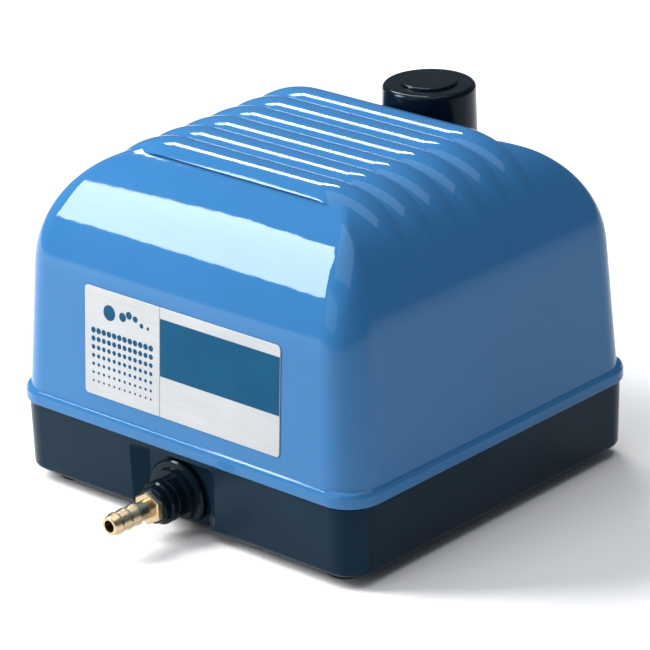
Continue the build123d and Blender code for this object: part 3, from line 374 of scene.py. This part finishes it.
def disc(u, v, radius, steps):
    """Outline of a round dot in label shares; the radius is in metres."""
    return [(u + radius / LABEL_WIDE * math.cos(2 * math.pi * i / steps),
             v + radius / LABEL_TALL * math.sin(2 * math.pi * i / steps)) for i in range(steps)]


def panel(shape, u0, v0, u1, v1):
    """Square-cornered printed panel between two corners in label shares."""
    slab(shape, [(u0, v0), (u1, v0), (u1, v1), (u0, v1)])


DIVIDE_U = 0.393          # middle of the thin line between the two halves, and half its width
DIVIDE_HALF = 0.0018
BAND_END_U = 0.9985
BAND_LOW_V = 0.375
BAND_HIGH_V = 0.90
DOT_ROWS = 7
DOT_COLUMNS = 12
DOT_START = (0.045, 0.60)
DOT_STEP = (0.0275, 0.078)
DOT_RADIUS = 1.40 * MM    # in the top row
DOT_SHRINK = 0.14 * MM    # lost from row to row
ICON_V = 0.80
ICON_DOT_U = 0.13
ICON_DOT_RADIUS = 3.6 * MM
TRAIL_DOTS = 5
TRAIL_START_U = 0.20
TRAIL_STEP_U = 0.033
TRAIL_SWING_V = 0.035
TRAIL_RADIUS = 2.1 * MM
TRAIL_SHRINK = 0.32 * MM


def dots(shape):
    """Grid of dots that shrink towards the bottom."""
    for row in range(DOT_ROWS):
        for column in range(DOT_COLUMNS):
            u = DOT_START[0] + column * DOT_STEP[0]
            v = DOT_START[1] - row * DOT_STEP[1]
            slab(shape, disc(u, v, DOT_RADIUS - DOT_SHRINK * row, 14))


def icon(shape):
    """Generic mark: one large dot with a wavy trail of shrinking dots."""
    slab(shape, disc(ICON_DOT_U, ICON_V, ICON_DOT_RADIUS, 28))
    for i in range(TRAIL_DOTS):
        v = ICON_V + TRAIL_SWING_V * math.sin(i * 1.3)
        slab(shape, disc(TRAIL_START_U + i * TRAIL_STEP_U, v, TRAIL_RADIUS - TRAIL_SHRINK * i, 20))


def divider(shape):
    panel(shape, DIVIDE_U - DIVIDE_HALF, 0.0, DIVIDE_U + DIVIDE_HALF, 1.0)


def band(shape):
    panel(shape, DIVIDE_U + DIVIDE_HALF, BAND_LOW_V, BAND_END_U, BAND_HIGH_V)


piece("label_dots", dots, INK_TEAL, "casing")
piece("label_icon", icon, INK_TEAL, "casing")
piece("label_divider", divider, INK_GREY, "casing")
piece("label_band", band, INK_TEAL, "casing")


# ======================================================================
# Foam pieces
# ======================================================================

PLUG_INSET = 0.15 * MM    # how far the foam pieces stay inside their nodes' boxes
SHEET_INSET = 0.1 * MM
PLUG_STEPS = 72           # points around the plug
PLUG_RINGS = 30           # and rings along it
PLUG_CROWN = 2.2 * MM     # length of the rounded stretch at each end
PLUG_CROWN_SHRINK = 0.09  # share of the radius that the ends lose
PLUG_UNEVEN = 0.006       # share of the radius that a point may be short of
SHEET_CUTS = 14
SHEET_EDGE = 0.1          # share of the sheet's half size that slopes down
SHEET_SLOPE = 0.12        # share of the thickness lost at the edge
SHEET_UNEVEN = 0.03       # share of the thickness that a point may be short of


def foam_cylinder(low, high, inset):
    """Crowned, slightly uneven foam plug that fills a node's box."""
    def build(shape):
        middle = (low + high) / 2
        radius = (high.x - low.x) / 2 - inset
        tall = high.z - low.z - 2 * inset
        rows = []
        for r in range(PLUG_RINGS + 1):
            t = r / PLUG_RINGS
            edge = min(t, 1 - t) * tall
            shrink = 1.0 - PLUG_CROWN_SHRINK * max(0.0, 1 - edge / PLUG_CROWN) ** 2
            row = []
            for k in range(PLUG_STEPS):
                a = 2 * math.pi * k / PLUG_STEPS
                wobble = 1 - PLUG_UNEVEN * random.random()
                row.append(shape.verts.new((middle.x + radius * shrink * wobble * math.cos(a),
                                            middle.y + radius * shrink * wobble * math.sin(a),
                                            low.z + inset + t * tall)))
            rows.append(row)
        for lower, upper in zip(rows, rows[1:]):
            for k in range(PLUG_STEPS):
                m = (k + 1) % PLUG_STEPS
                shape.faces.new((lower[k], lower[m], upper[m], upper[k]))
        for row, z in (rows[0], low.z + inset), (rows[-1], high.z - inset):
            hub = shape.verts.new((middle.x, middle.y, z))
            for k in range(PLUG_STEPS):
                shape.faces.new((row[k], row[(k + 1) % PLUG_STEPS], hub))
    return build


def foam_sheet(low, high, inset):
    """Foam sheet with soft cut edges."""
    def build(shape):
        bmesh.ops.create_cube(shape, size=1.0)
        size = high - low - Vector((2 * inset, 2 * inset, 0))
        for vertex in shape.verts:
            vertex.co = Vector([a * b for a, b in zip(vertex.co, size)]) + (low + high) / 2
        bmesh.ops.subdivide_edges(shape, edges=shape.edges[:], cuts=SHEET_CUTS, use_grid_fill=True)
        middle = (low + high) / 2
        for vertex in shape.verts:
            away = vertex.co - middle
            side = abs(away.z) / (size.z / 2)
            out = max(abs(away.x) / (size.x / 2), abs(away.y) / (size.y / 2))
            if side > 0.99:
                slope = SHEET_SLOPE * max(0.0, (out - 1 + SHEET_EDGE) / SHEET_EDGE) ** 2
                dip = size.z * (slope + SHEET_UNEVEN * random.random())
                vertex.co.z += -dip if vertex.co.z > middle.z else dip
    return build


foam_plug = piece("foam_plug", foam_cylinder(*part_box("filter_foam"), PLUG_INSET), FILTER_FOAM,
                  "filter_foam")
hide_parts("filter_foam")
foam_pad = piece("foam_pad", foam_sheet(*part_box("damping_pad"), SHEET_INSET), PAD_FOAM,
                 "casing")
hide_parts("damping_pad")
